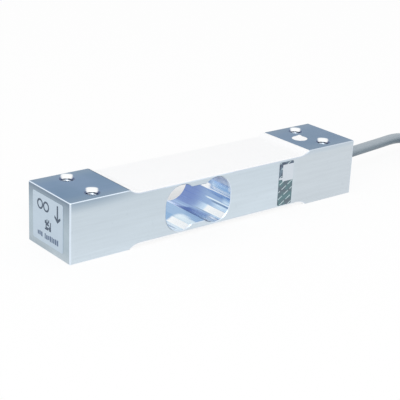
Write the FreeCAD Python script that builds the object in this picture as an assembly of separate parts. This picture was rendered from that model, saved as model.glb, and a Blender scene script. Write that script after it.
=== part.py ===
# Single point load cell: a bending beam with its strain gauges, wiring, seals, labels and cable.
# Millimetres. X runs along the beam towards the cable, Y to the back and Z up.
# The origin is the middle of the beam's underside.
import FreeCAD, Part
import math
import os

from FreeCAD import Vector

# Beam
beam_length = 150.0
beam_width = 30.0
beam_height = 25.0
pad_length = 27.5
recess_depth = 2.0
recess_radius = 8.0
edge_chamfer = 0.3

# Binocular cut-out, measured from its own middle
cutout_x = -13.25
web_thickness = 0.65
lobe_radius = 8.0
lobe_offset_x = 8.75
slot_step = 1.8
cutout_chamfer = 0.3

# Tapped holes, M6 in each pad
tap_core_diameter = 5.0
tap_spacing = 18.0
tap_countersink_diameter = 6.6

# Cable, its bore and the chamber where its conductors turn up
cable_diameter = 5.0
bore_clearance = 0.1
seal_ring_width = 1.0
seal_ring_depth = 1.2
chamber_from_end = 19.5
chamber_diameter = 7.0
chamber_floor_depth = 16.0
jacket_short_of_middle = 2.5
plug_length = 7.5
plug_dome = 0.9

# Pocket for the compensation board, in the floor of the upper recess
pocket_length = 24.0
pocket_width = 12.0
pocket_depth = 3.0
pocket_corner = 2.0
pocket_to_pad = 6.5
passage_diameter = 3.0
through_hole_inset = 4.5
potting_depth = 0.9

# Compensation board and its resistors
board_length = 12.0
board_width = 10.0
board_thickness = 0.8
resistor_length = 2.2
resistor_width = 1.6
resistor_height = 0.6
resistor_pitch = 2.8

# Strain gauges and their terminals
backing_length = 10.0
backing_width = 6.0
backing_thickness = 0.1
foil_thickness = 0.05
grid_length = 5.0
grid_width = 4.0
grid_strands = 8
grid_gap = 0.15
tab_length = 1.6
tab_width = 1.4
terminal_size = 3.0
terminal_thickness = 0.12
terminal_gap = 0.4

# Leads between the gauges and the board
lead_diameter = 0.3
lead_offset_far = 5.0
lead_offset_near = 3.0
lead_offset_through = 0.6
lead_settle = 0.57
lead_to_pocket = 4.0

# White covering over both recesses
coat_thickness = 0.6
coat_lead_room = 0.1

# Foil on the front face, with a blank field on it, and the label on the free end
foil_to_pad = 13.2
foil_width = 8.0
foil_to_lower_floor = 0.5
foil_to_upper_floor = 0.8
foil_corner = 0.7
sheet_thickness = 0.1
blank_width = 6.1
blank_height = 7.5
blank_to_foil_top = 1.2
label_centre_y = 0.6
label_width = 21.8
label_to_underside = 3.0
label_to_top = 2.4
label_corner = 0.9

# Conductors
conductor_diameter = 0.9
conductor_offset = 0.6
board_pad_pitch = 2.4

# Hank of the cable that lies beyond the cell: two runs joined by two bends
hank_x = 157.0
hank_run = 64.0
hank_inner_turn = 15.0
hank_lift = 0.8
layer_gap = 0.05
lead_in_y = 9.5
lead_in_room = 0.5
lead_in_end = 6.0
tie_width = 3.5
tie_thickness = 0.5
tie_gap = 0.12
tie_head = 4.4
tie_head_height = 2.4
tie_angles = {"hank_tie_near": -90.0, "hank_tie_far": 90.0}

# Free end of the cable: a shrink sleeve, four conductors and the shield's drain wire
end_length = 9.5
sleeve_length = 14.0
sleeve_wall = 0.6
free_wire_pitch = 0.95
free_wire_spread = 0.1
free_wire_straight = 3.0
free_wire_step = 2.6
free_wire_steps = 4
free_wire_fall = 0.6
stripped_length = 5.0
strand_diameter = 0.6

# Worked-out values
half_length = beam_length / 2
half_width = beam_width / 2
mid_height = beam_height / 2
floor_top = beam_height - recess_depth
floor_bottom = recess_depth
ramp_run = math.sqrt(2 * recess_radius * recess_depth - recess_depth ** 2)
lobe_top = mid_height - recess_depth - web_thickness
lobe_offset_z = lobe_top - lobe_radius
slot_half_height = lobe_top - slot_step
hole_x = half_length - pad_length / 2
cable_radius = cable_diameter / 2
chamber_x = half_length - chamber_from_end
jacket_end_x = chamber_x + jacket_short_of_middle
pocket_end_x = half_length - pad_length - pocket_to_pad
pocket_start_x = pocket_end_x - pocket_length
pocket_floor = floor_top - pocket_depth
through_x = pocket_start_x + through_hole_inset
board_start_x = pocket_start_x + through_hole_inset + passage_diameter / 2 + 1.0
board_end_x = board_start_x + board_length
board_top = pocket_floor + board_thickness
foil_centre_x = half_length - pad_length - foil_to_pad
foil_bottom = floor_bottom + foil_to_lower_floor
foil_top = floor_top - foil_to_upper_floor
blank_top = foil_top - blank_to_foil_top
blank_bottom = blank_top - blank_height
lead_radius = lead_diameter / 2
wire_radius = conductor_diameter / 2
turn_low = hank_lift + cable_radius
turn_high = turn_low + cable_diameter + layer_gap
hank_outer_turn = hank_inner_turn + cable_diameter
hank_y = lead_in_y - hank_outer_turn
clear_turn = hank_outer_turn + cable_diameter
lead_in_length = math.sqrt(clear_turn ** 2 - hank_outer_turn ** 2) + lead_in_room

# Route of the cable, chosen by hand up to the hank
lead_route = [
    (half_length, 0.0, mid_height),
    (87.5, 0.0, mid_height),
    (102.5, 2.5, 12.15),
    (116.0, 5.6, 11.3),
    (131.0, lead_in_y, turn_high),
    (hank_x - lead_in_length, lead_in_y, turn_high),
]
end_route = [
    (hank_x - lead_in_length, hank_y - hank_outer_turn, turn_low),
    (hank_x - lead_in_length - end_length, hank_y - hank_outer_turn, turn_low),
]


def box(x0, x1, y0, y1, z0, z1):
    return Part.makeBox(x1 - x0, y1 - y0, z1 - z0, Vector(x0, y0, z0))


def cylinder(radius, start, end):
    along = Vector(*end) - Vector(*start)
    return Part.makeCylinder(radius, along.Length, Vector(*start), along)


def prism(edges, depth):
    return Part.Face(Part.Wire(edges)).extrude(depth)


def rounded_plate(u0, u1, v0, v1, corner, place, depth):
    """A plate with round corners. place turns flat coordinates u, v into a point."""
    slant = corner * (1 - math.sqrt(0.5))
    corners = [(u0, v0, 1, 1), (u1, v0, -1, 1), (u1, v1, -1, -1), (u0, v1, 1, -1)]
    edges = []
    last = None
    for index, (u, v, du, dv) in enumerate(corners):
        along_v = place(u, v + dv * corner)
        along_u = place(u + du * corner, v)
        enter, leave = (along_v, along_u) if index % 2 == 0 else (along_u, along_v)
        if last is not None:
            edges.append(Part.LineSegment(last, enter).toShape())
        middle = place(u + du * slant, v + dv * slant)
        edges.append(Part.Arc(enter, middle, leave).toShape())
        last = leave
    first = edges[0].Vertexes[0].Point
    edges.append(Part.LineSegment(last, first).toShape())
    return prism(edges, depth)


def without_points_in_line(points):
    """Leaves out each point where a route doesn't turn."""
    kept = [points[0]]
    for corner, after in zip(points[1:], points[2:]):
        if (corner - kept[-1]).getAngle(after - corner) > 1e-6:
            kept.append(corner)
    return kept + [points[-1]]


def rounded_path(points):
    """Straight runs joined by tangent arcs, each as large as its two runs allow."""
    points = without_points_in_line([Vector(*p) for p in points])
    start = points[0]
    edges = []
    radii = []
    for before, corner, after in zip(points, points[1:], points[2:]):
        back = before - corner
        ahead = after - corner
        reach = 0.45 * min(back.Length, ahead.Length)
        back.normalize()
        ahead.normalize()
        half_turn = (math.pi - back.getAngle(ahead)) / 2
        radius = reach / math.tan(half_turn)
        inward = (back + ahead).normalize()
        middle = corner + inward * (radius / math.cos(half_turn) - radius)
        leave = corner + ahead * reach
        edges.append(Part.LineSegment(start, corner + back * reach).toShape())
        edges.append(Part.Arc(corner + back * reach, middle, leave).toShape())
        radii.append(radius)
        start = leave
    edges.append(Part.LineSegment(start, points[-1]).toShape())
    return Part.Wire(edges), radii


def tube(points, radius):
    path, _ = rounded_path(points)
    heading = Vector(*points[1]) - Vector(*points[0])
    circle = Part.Wire(Part.makeCircle(radius, Vector(*points[0]), heading))
    return path.makePipeShell([circle], True, False)


def report_tube(name, points, radius):
    path, radii = rounded_path(points)
    volume = tube(points, radius).Volume
    expected = math.pi * radius ** 2 * path.Length
    shown = ", ".join(f"{r:.1f}" for r in radii)
    print(f"{name}: length {path.Length:.1f}, radii {shown}, volume over section {volume / expected:.4f}")


# Beam

def side_profile():
    """The beam's outline seen from the front, with both recesses."""
    x = half_length
    pad = half_length - pad_length
    flat = pad - ramp_run
    middle_angle = math.acos(1 - recess_depth / recess_radius) / 2
    dx = recess_radius * math.sin(middle_angle)
    dz = recess_radius * (1 - math.cos(middle_angle))

    def ramp(side, level, up, inward):
        """From the pad's corner to the floor, or back when inward is false."""
        corner = Vector(side * pad, 0, level + up * recess_depth)
        middle = Vector(side * (flat + dx), 0, level + up * dz)
        foot = Vector(side * flat, 0, level)
        ends = (corner, middle, foot) if inward else (foot, middle, corner)
        return Part.Arc(*ends).toShape()

    def line(a, b):
        return Part.LineSegment(Vector(a[0], 0, a[1]), Vector(b[0], 0, b[1])).toShape()

    return [
        line((-x, 0), (-pad, 0)),
        ramp(-1, floor_bottom, -1, True),
        line((-flat, floor_bottom), (flat, floor_bottom)),
        ramp(1, floor_bottom, -1, False),
        line((pad, 0), (x, 0)),
        line((x, 0), (x, beam_height)),
        line((x, beam_height), (pad, beam_height)),
        ramp(1, floor_top, 1, True),
        line((flat, floor_top), (-flat, floor_top)),
        ramp(-1, floor_top, 1, False),
        line((-pad, beam_height), (-x, beam_height)),
        line((-x, beam_height), (-x, 0)),
    ]


def beam_blank():
    blank = prism(side_profile(), Vector(0, beam_width, 0))
    blank.translate(Vector(0, -half_width, 0))

    def is_outer(edge):
        points = [edge.valueAt(t) for t in edge.ParameterRange]
        on_side = all(abs(abs(p.y) - half_width) < 1e-6 for p in points)
        on_end = all(abs(abs(p.x) - half_length) < 1e-6 for p in points)
        return on_side or on_end

    return blank.makeChamfer(edge_chamfer, [e for e in blank.Edges if is_outer(e)])


def cutout_wire(grow, y):
    """Two lobes joined by a slot; grow widens the whole outline."""
    radius = lobe_radius + grow
    half_slot = slot_half_height + grow
    rise = half_slot - lobe_offset_z
    notch = lobe_offset_x - math.sqrt(radius ** 2 - rise ** 2)
    slant = radius * math.sqrt(0.5)

    def at(x, z):
        return Vector(cutout_x + x, y, mid_height + z)

    def lobe(sx, sz):
        """From the notch round to the lobe's upright side."""
        notch_point = at(sx * notch, sz * half_slot)
        middle = at(sx * (lobe_offset_x + slant), sz * (lobe_offset_z + slant))
        side = at(sx * (lobe_offset_x + radius), sz * lobe_offset_z)
        return notch_point, middle, side

    ur, ul, dl, dr = lobe(1, 1), lobe(-1, 1), lobe(-1, -1), lobe(1, -1)
    edges = [
        Part.Arc(*ur).toShape(),
        Part.LineSegment(ur[2], dr[2]).toShape(),
        Part.Arc(dr[2], dr[1], dr[0]).toShape(),
        Part.LineSegment(dr[0], dl[0]).toShape(),
        Part.Arc(*dl).toShape(),
        Part.LineSegment(dl[2], ul[2]).toShape(),
        Part.Arc(ul[2], ul[1], ul[0]).toShape(),
        Part.LineSegment(ul[0], ur[0]).toShape(),
    ]
    return Part.Wire(edges)


def cutout_tools():
    """The cut-out itself and the chamfer at each of its mouths."""
    through = Part.Face(cutout_wire(0, -half_width)).extrude(Vector(0, beam_width, 0))
    tools = [through]
    for side in (-1, 1):
        mouth = cutout_wire(cutout_chamfer, side * half_width)
        inside = cutout_wire(0, side * (half_width - cutout_chamfer))
        tools.append(Part.makeLoft([mouth, inside], True, True))
    return tools


def tapped_hole(x, y):
    """A through hole with a countersink at each face."""
    core = tap_core_diameter / 2
    rim = tap_countersink_diameter / 2
    depth = rim - core
    low = Part.makeCone(rim, core, depth, Vector(x, y, 0))
    high = Part.makeCone(core, rim, depth, Vector(x, y, beam_height - depth))
    hole = cylinder(core, (x, y, 0), (x, y, beam_height))
    return hole.fuse([low, high])


def tap_places():
    return [(sx * hole_x, sy * tap_spacing / 2) for sx in (-1, 1) for sy in (-1, 1)]


def passage_top():
    """Where the slanted passage comes out in the pocket's far corner."""
    return pocket_end_x, pocket_floor + passage_diameter * 0.2


def pocket_block(z0, z1):
    def place(u, v):
        return Vector(u, v, z0)

    half = pocket_width / 2
    depth = Vector(0, 0, z1 - z0)
    return rounded_plate(pocket_start_x, pocket_end_x, -half, half, pocket_corner, place, depth)


def wiring_tools():
    """Cable bore, seal seat, chamber, board pocket and the two wire passages."""
    bore = cable_radius + bore_clearance
    seat = cable_radius + seal_ring_width
    passage = passage_diameter / 2
    top_x, top_z = passage_top()
    rise = (top_z - mid_height) / (chamber_x - top_x)
    drill_end = (top_x - passage, 0, top_z + passage * rise)
    return [
        cylinder(bore, (chamber_x, 0, mid_height), (half_length, 0, mid_height)),
        cylinder(seat, (half_length - seal_ring_depth, 0, mid_height), (half_length, 0, mid_height)),
        cylinder(chamber_diameter / 2, (chamber_x, 0, beam_height - chamber_floor_depth),
                 (chamber_x, 0, beam_height)),
        pocket_block(pocket_floor, floor_top),
        cylinder(passage, (chamber_x, 0, mid_height), drill_end),
        cylinder(passage, (through_x, 0, floor_bottom), (through_x, 0, pocket_floor)),
    ]


def beam_body():
    tools = cutout_tools() + wiring_tools()
    tools += [tapped_hole(x, y) for x, y in tap_places()]
    return beam_blank().cut(tools)


# Strain gauges, their terminals and leads. up is 1 on the upper side and -1 on the lower one

def gauge_x(side):
    return cutout_x + side * lobe_offset_x


def layer(x0, x1, y0, y1, up, start, thickness):
    """A thin box that lies above the recess floor, or hangs below the lower one."""
    level = floor_top if up > 0 else floor_bottom
    low = level + up * start
    high = low + up * thickness
    return box(x0, x1, y0, y1, min(low, high), max(low, high))


def gauge_backing(side, up):
    x = gauge_x(side)
    half = backing_width / 2
    return layer(x - backing_length / 2, x + backing_length / 2, -half, half, up, 0, backing_thickness)


def gauge_foil(side, up):
    """An etched sheet: slots from either end leave one strand that folds to and fro between two tabs."""
    x0 = gauge_x(side) - grid_length / 2 - tab_length / 2
    x1 = x0 + grid_length
    half = grid_width / 2
    pitch = (grid_width + grid_gap) / grid_strands
    strand = pitch - grid_gap

    def foil(xa, xb, ya, yb):
        return layer(xa, xb, ya, yb, up, backing_thickness, foil_thickness)

    slots = []
    for index in range(grid_strands - 1):
        y = -half + (index + 1) * pitch - grid_gap
        ends = (x0 + strand, x1) if index % 2 == 0 else (x0, x1 - strand)
        slots.append(foil(*ends, y, y + grid_gap))
    tabs = []
    for edge in (-1, 1):
        outer = edge * half
        for x_start, x_end, width in ((x1, x1 + grid_gap, strand), (x1 + grid_gap, x1 + tab_length, tab_width)):
            inner = outer - edge * width
            tabs.append(foil(x_start, x_end, min(outer, inner), max(outer, inner)))
    return foil(x0, x1, -half, half).cut(slots).fuse(tabs).removeSplitter()


def terminal_x(side):
    return gauge_x(side) + backing_length / 2 + terminal_gap


def gauge_terminal(side, up):
    x = terminal_x(side)
    half = terminal_size / 2
    return layer(x, x + terminal_size, -half, half, up, 0, terminal_thickness)


def lead_route_of(side, up):
    """From a gauge's terminal to the board: the lower leads go up through the beam."""
    floor = floor_top if up > 0 else floor_bottom
    level = floor + up * (lead_radius + 0.02)
    start_x = terminal_x(side) + terminal_size / 2
    start_z = floor + up * (terminal_thickness + lead_radius + 0.02)
    pocket_near_x = pocket_start_x - lead_to_pocket
    if side < 0:
        y = -lead_offset_far
        settle_x = gauge_x(1) - backing_length / 2 + 0.4
    else:
        y = lead_offset_near
        settle_x = start_x + lead_settle * (pocket_near_x - start_x)
    board_z = board_top + lead_radius + 0.02
    board_x = board_start_x + 1.5
    start = [
        (start_x, 0.3 * y / abs(y), start_z),
        (start_x + 0.35 * (settle_x - start_x), y * 0.4, start_z),
        (settle_x, y, level),
    ]
    if up > 0:
        return start + [
            (pocket_near_x, y * 0.97, level),
            (pocket_start_x + 0.9, y * 0.9, level),
            (pocket_start_x + 2.6, y * 0.8, board_z + 0.6),
            (board_start_x - 0.8, y * 0.75, board_z + 0.1),
            (board_x, y * 0.75, board_z),
        ]
    through_y = lead_offset_through * y / abs(y)
    return start + [
        (through_x - passage_diameter * 0.45, through_y * 1.1, level),
        (through_x, through_y, level),
        (through_x, through_y * 1.02, pocket_floor + 1.0),
        (board_start_x - 0.5, through_y * 1.3, board_z + 0.25),
        (board_x, through_y * 1.35, board_z),
    ]


# Compensation board

def compensation_board():
    half = board_width / 2
    return box(board_start_x, board_end_x, -half, half, pocket_floor, board_top)


def resistor(index):
    x = board_start_x + board_length * 0.45
    y = (index - 1) * resistor_pitch
    return box(x - resistor_width / 2, x + resistor_width / 2, y - resistor_length / 2,
               y + resistor_length / 2, board_top, board_top + resistor_height)


def conductor_route(index):
    """Out of the jacket, up the slanted passage and on to the board's far edge."""
    sy = (-1, 1, -1, 1)[index]
    sz = (-1, -1, 1, 1)[index]
    y = sy * conductor_offset
    z = sz * conductor_offset
    pad_y = sy * board_pad_pitch * (1.5 if sz < 0 else 0.5)
    land = board_top + wire_radius + 0.02
    top_x, top_z = passage_top()
    return [
        (jacket_end_x, y, mid_height + z),
        (chamber_x, y, mid_height + z),
        (top_x - 1.2, y, top_z + wire_radius + z * 0.92),
        (board_end_x + 1.0, y * 0.4 + pad_y * 0.6, land + 0.05 + z * 0.1),
        (board_end_x - 1.8, pad_y, land),
    ]


def pocket_potting():
    """The filling over the board, notched where the leads come down."""
    block = pocket_block(floor_top - potting_depth, floor_top)
    half = lead_offset_far + 0.5
    notch = box(pocket_start_x, board_start_x, -half, half, floor_top - potting_depth, floor_top)
    return block.cut(notch)


# Covering and seals

def covering(up):
    """The poured coat: it follows the recess and leaves room for what lies under it."""
    pad = half_length - pad_length
    flat = pad - ramp_run
    inner_radius = recess_radius - coat_thickness
    centre_z = recess_radius
    reach = math.sqrt(inner_radius ** 2 - (centre_z - recess_depth) ** 2)
    lower_half = math.acos(1 - recess_depth / recess_radius) / 2
    upper_half = math.atan2(reach, centre_z - recess_depth) / 2

    def at(x, height):
        return Vector(x, -half_width + edge_chamfer, (floor_top + height) if up > 0 else (floor_bottom - height))

    def ramp(side, radius, half_angle, end_x, start_height):
        foot = at(side * flat, start_height)
        middle = at(side * (flat + radius * math.sin(half_angle)), centre_z - radius * math.cos(half_angle))
        return foot, middle, at(side * end_x, recess_depth)

    low_r = ramp(1, recess_radius, lower_half, pad, 0)
    low_l = ramp(-1, recess_radius, lower_half, pad, 0)
    top_r = ramp(1, inner_radius, upper_half, flat + reach, coat_thickness)
    top_l = ramp(-1, inner_radius, upper_half, flat + reach, coat_thickness)
    edges = [
        Part.Arc(low_l[2], low_l[1], low_l[0]).toShape(),
        Part.LineSegment(low_l[0], low_r[0]).toShape(),
        Part.Arc(*low_r).toShape(),
        Part.LineSegment(low_r[2], top_r[2]).toShape(),
        Part.Arc(top_r[2], top_r[1], top_r[0]).toShape(),
        Part.LineSegment(top_r[0], top_l[0]).toShape(),
        Part.Arc(*top_l).toShape(),
        Part.LineSegment(top_l[2], low_l[2]).toShape(),
    ]
    coat = prism(edges, Vector(0, beam_width - 2 * edge_chamfer, 0))
    room = []
    for side in (-1, 1):
        x = gauge_x(side)
        half = backing_width / 2
        stack = backing_thickness + foil_thickness
        room.append(layer(x - backing_length / 2, x + backing_length / 2, -half, half, up, 0, stack))
        room.append(gauge_terminal(side, up))
        room.append(tube(lead_route_of(side, up), lead_radius + coat_lead_room))
    return coat.cut(room)


def sealant_plug():
    """Fills the top of the chamber and stands a little proud."""
    radius = chamber_diameter / 2
    bottom = Vector(0, 0, beam_height - plug_length)
    rim = Vector(radius, 0, beam_height)
    top = Vector(0, 0, beam_height + plug_dome)
    sphere = (radius ** 2 + plug_dome ** 2) / (2 * plug_dome)
    half_angle = math.asin(radius / sphere) / 2
    middle = Vector(sphere * math.sin(half_angle), 0,
                    beam_height + plug_dome - sphere * (1 - math.cos(half_angle)))
    edges = [
        Part.LineSegment(bottom, Vector(radius, 0, bottom.z)).toShape(),
        Part.LineSegment(Vector(radius, 0, bottom.z), rim).toShape(),
        Part.Arc(rim, middle, top).toShape(),
        Part.LineSegment(top, bottom).toShape(),
    ]
    plug = Part.Face(Part.Wire(edges)).revolve(Vector(0, 0, 0), Vector(0, 0, 1), 360)
    plug.translate(Vector(chamber_x, 0, 0))
    return plug


def seal_ring():
    start = (half_length - seal_ring_depth, 0, mid_height)
    end = (half_length, 0, mid_height)
    return cylinder(cable_radius + seal_ring_width, start, end).cut(cylinder(cable_radius, start, end))


# Foil and labels

def side_foil():
    def place(u, v):
        return Vector(u, -half_width, v)

    half = foil_width / 2
    return rounded_plate(foil_centre_x - half, foil_centre_x + half, foil_bottom, foil_top,
                         foil_corner, place, Vector(0, -sheet_thickness, 0))


def foil_blank_field():
    def place(u, v):
        return Vector(u, -half_width - sheet_thickness, v)

    right = foil_centre_x + foil_width / 2
    return rounded_plate(right - blank_width, right, blank_bottom, blank_top,
                         foil_corner / 2, place, Vector(0, -sheet_thickness / 2, 0))


def end_label():
    def place(u, v):
        return Vector(-half_length, u, v)

    half = label_width / 2
    return rounded_plate(label_centre_y - half, label_centre_y + half, label_to_underside,
                         beam_height - label_to_top, label_corner, place, Vector(-sheet_thickness, 0, 0))


# Cable

def turn_hull(grow):
    """The section round all turns: circles on each corner of the stack, joined by lines."""
    radius = cable_radius + grow
    centres = [
        Vector(hank_inner_turn, 0, turn_low),
        Vector(hank_outer_turn, 0, turn_low),
        Vector(hank_outer_turn, 0, turn_high),
        Vector(hank_inner_turn, 0, turn_high),
    ]
    normals = []
    for a, b in zip(centres, centres[1:] + centres[:1]):
        along = (b - a).normalize()
        normals.append(Vector(along.z, 0, -along.x))
    edges = []
    for index, centre in enumerate(centres):
        before, after = normals[index - 1], normals[index]
        middle = (before + after).normalize()
        arc = [centre + n * radius for n in (before, middle, after)]
        edges.append(Part.Arc(*arc).toShape())
        following = centres[(index + 1) % len(centres)]
        edges.append(Part.LineSegment(arc[2], following + after * radius).toShape())
    return Part.Wire(edges)


def cable_hank():
    """The hull of the turns along a loop with two straight runs, and the stubs of both cable ends."""
    axis = Vector(0, 0, 1)
    far = Part.Face(turn_hull(0))
    far.rotate(Vector(0, 0, 0), axis, 90)
    near = Part.Face(turn_hull(0))
    near.rotate(Vector(0, 0, 0), axis, -90)
    run = Vector(hank_run, 0, 0)
    left_bend = far.revolve(Vector(0, 0, 0), axis, 180)
    right_bend = near.revolve(Vector(0, 0, 0), axis, 180)
    right_bend.translate(run)
    hank = left_bend.fuse([far.extrude(run), near.extrude(run), right_bend])
    hank.translate(Vector(hank_x, hank_y, 0))
    stubs = []
    for start in (lead_route[-1], end_route[0]):
        stubs.append(cylinder(cable_radius, start, (hank_x - lead_in_end, start[1], start[2])))
    return hank.fuse(stubs).removeSplitter()


def hank_tie(angle):
    """A strap round one run's section, with its locking head on top."""
    strap = Part.Face(turn_hull(tie_gap + tie_thickness)).extrude(Vector(0, tie_width, 0))
    inside = Part.Face(turn_hull(tie_gap)).extrude(Vector(0, tie_width, 0))
    top = turn_high + cable_radius + tie_gap
    middle = (hank_inner_turn + hank_outer_turn) / 2
    side = (tie_head - tie_width) / 2
    head = box(middle - tie_head / 2, middle + tie_head / 2, -side, tie_width + side,
               top, top + tie_head_height)
    tie = strap.cut(inside).fuse(head).removeSplitter()
    tie.translate(Vector(0, -tie_width / 2, 0))
    tie.rotate(Vector(0, 0, 0), Vector(0, 0, 1), angle)
    tie.translate(Vector(hank_x + hank_run / 2, hank_y, 0))
    return tie


def cable_jacket_in_bore():
    return cylinder(cable_radius, (jacket_end_x, 0, mid_height), (half_length, 0, mid_height))


def sleeve_span():
    """The shrink sleeve starts on the jacket and runs past its end."""
    last = Vector(*end_route[-1])
    reach = Vector(sleeve_length / 2, 0, 0)
    return last + reach, last - reach


def end_sleeve():
    start, end = sleeve_span()
    outer = cylinder(cable_radius + sleeve_wall, start, end)
    return outer.cut(cylinder(cable_radius, start, Vector(*end_route[-1])))


def free_wire_route(index):
    """From the sleeve's end down to the floor, where it lies level."""
    _, start = sleeve_span()
    place = index - 2
    lift = (0.0, 1.0, -1.0, 1.0, 0.0)[index]
    begin = start + Vector(0, place * free_wire_pitch, lift)
    lying = wire_radius + 0.05
    points = [tuple(begin), (begin.x - free_wire_straight, begin.y, begin.z)]
    for step in range(1, free_wire_steps + 1):
        x = begin.x - free_wire_straight - free_wire_step * step
        y = begin.y + place * free_wire_spread * step
        points.append((x, y, max(lying, begin.z - free_wire_fall * step ** 2)))
    return points


def free_wire(index):
    return tube(free_wire_route(index), wire_radius)


def free_strand(index):
    """The stripped and tinned end of one wire."""
    before, last = [Vector(*p) for p in free_wire_route(index)[-2:]]
    heading = (last - before).normalize()
    return cylinder(strand_diameter / 2, last, last + heading * stripped_length)


wire_names = ("red", "black", "shield", "green", "white")


def sub_parts():
    made = {"beam_body": beam_body()}
    for up, level in ((1, "upper"), (-1, "lower")):
        for side, place in ((-1, "outer"), (1, "inner")):
            made[f"gauge_backing_{level}_{place}"] = gauge_backing(side, up)
            made[f"gauge_foil_{level}_{place}"] = gauge_foil(side, up)
            made[f"gauge_terminal_{level}_{place}"] = gauge_terminal(side, up)
            made[f"gauge_lead_{level}_{place}"] = tube(lead_route_of(side, up), lead_radius)
        made[f"{level}_covering"] = covering(up)
    made["compensation_board"] = compensation_board()
    for index, name in enumerate(("span_resistor", "zero_resistor", "temperature_resistor")):
        made[name] = resistor(index)
    made["pocket_potting"] = pocket_potting()
    for index, name in enumerate(("red", "black", "green", "white")):
        made[f"inner_wire_{name}"] = tube(conductor_route(index), wire_radius)
    made["wiring_hole_sealant"] = sealant_plug()
    made["cable_seal_ring"] = seal_ring()
    made["cable_jacket_in_bore"] = cable_jacket_in_bore()
    made["side_foil"] = side_foil()
    made["side_foil_blank_field"] = foil_blank_field()
    made["end_label"] = end_label()
    made["cable_lead"] = tube(lead_route, cable_radius)
    made["cable_hank"] = cable_hank()
    made["cable_end"] = cylinder(cable_radius, *end_route)
    made["cable_end_sleeve"] = end_sleeve()
    for name, angle in tie_angles.items():
        made[name] = hank_tie(angle)
    for index, name in enumerate(wire_names):
        made[f"free_wire_{name}"] = free_wire(index)
        made[f"free_strand_{name}"] = free_strand(index)
    return made


def main():
    os.makedirs("parts", exist_ok=True)
    report_tube("cable_lead", lead_route, cable_radius)
    for name, shape in sub_parts().items():
        solids = shape.Solids
        assert solids and shape.isValid(), name
        one = solids[0] if len(solids) == 1 else Part.makeCompound(solids)
        one.exportStep(f"parts/{name}.step")
        print(f"{name}: {len(solids)} solid, {shape.Volume:.2f} mm3, {len(shape.Faces)} faces")


main()
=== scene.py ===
import math
import random

import bmesh
import bpy
from mathutils import Matrix, Vector


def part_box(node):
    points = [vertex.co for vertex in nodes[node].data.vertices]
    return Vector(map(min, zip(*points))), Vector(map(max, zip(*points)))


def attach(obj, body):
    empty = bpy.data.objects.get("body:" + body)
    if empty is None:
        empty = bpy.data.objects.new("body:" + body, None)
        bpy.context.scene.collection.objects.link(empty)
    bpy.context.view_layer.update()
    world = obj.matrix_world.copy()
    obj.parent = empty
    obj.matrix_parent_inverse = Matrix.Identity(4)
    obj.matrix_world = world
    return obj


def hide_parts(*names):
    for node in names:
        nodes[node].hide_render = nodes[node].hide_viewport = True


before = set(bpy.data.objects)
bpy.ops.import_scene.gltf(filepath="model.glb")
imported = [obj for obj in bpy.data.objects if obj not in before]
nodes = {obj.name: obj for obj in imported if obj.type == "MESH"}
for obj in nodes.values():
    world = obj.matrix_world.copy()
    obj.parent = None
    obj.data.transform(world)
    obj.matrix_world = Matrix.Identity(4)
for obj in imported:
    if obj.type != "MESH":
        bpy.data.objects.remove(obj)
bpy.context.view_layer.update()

MM = 0.001

# The camera, solved from the photograph's straight edges
CAMERA_AZIMUTH = -39.514
CAMERA_ELEVATION = 20.75
CAMERA_ROLL = 2.764
CAMERA_TARGET = Vector((0, -0.015, 0))
CAMERA_OFFSET = Vector((-0.009446, 0.010719, 0.469892))
CAMERA_FOCAL_PX = 1127.453
PICTURE_PX = 400
SENSOR_MM = 36.0

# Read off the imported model, metres
BEAM_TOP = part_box("beam_body")[1][2]
SEALANT_LOW, SEALANT_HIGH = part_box("wiring_hole_sealant")
LABEL_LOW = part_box("end_label")[0]
FOIL_LOW, FOIL_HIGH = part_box("side_foil")
BLANK_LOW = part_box("side_foil_blank_field")[0]

# The beam's milled shapes that its looks follow, metres
HOLE_X = 0.06125
HOLE_Y = 0.009
HOLE_MOUTH_RADIUS = 0.00332
CUTOUT_X = -0.01325
CUTOUT_HALF_X = 0.0172
CUTOUT_HALF_Z = 0.0101
RIM_HALF_X = 0.0174
RIM_HALF_Z = 0.0105
PAD_START_X = 0.05
BEAM_HEIGHT = 0.025
MID_HEIGHT = BEAM_HEIGHT / 2


# Small helpers for shaders

def srgb(red, green, blue):
    """A colour read as 0 to 255, turned into the linear values that shaders take."""
    values = []
    for channel in (red, green, blue):
        c = channel / 255
        values.append(c / 12.92 if c <= 0.04045 else ((c + 0.055) / 1.055) ** 2.4)
    return (*values, 1.0)


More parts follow.
